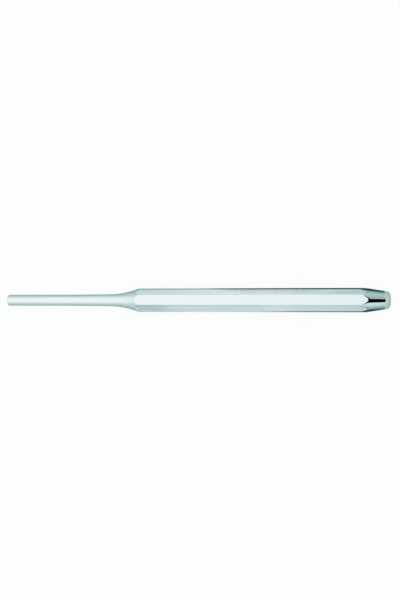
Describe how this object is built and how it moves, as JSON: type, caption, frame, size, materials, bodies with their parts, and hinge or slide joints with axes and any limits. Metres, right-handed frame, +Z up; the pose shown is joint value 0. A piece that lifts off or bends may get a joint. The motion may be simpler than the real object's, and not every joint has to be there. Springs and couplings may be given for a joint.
{
  "type": "pin punch",
  "caption": "Solid steel pin punch: straight round driving pin, hollow neck, octagonal shank, and a tapered, crowned end for the hammer.",
  "frame": {"origin": "on the surface that the punch lies on, under the middle of its length", "axes": "+X from the driving pin towards the struck end, along the punch's axis; +Z up, away from the flat that it lies on"},
  "size_m": [0.165, 0.01, 0.01],
  "materials": {
    "plated_steel": "bright plate with fine lengthwise polishing lines on the flats, satin plate on the driving pin, bare ground steel on the crown"
  },
  "bodies": {
    "root": {"punch": "plated_steel"}
  },
  "joints": []
}
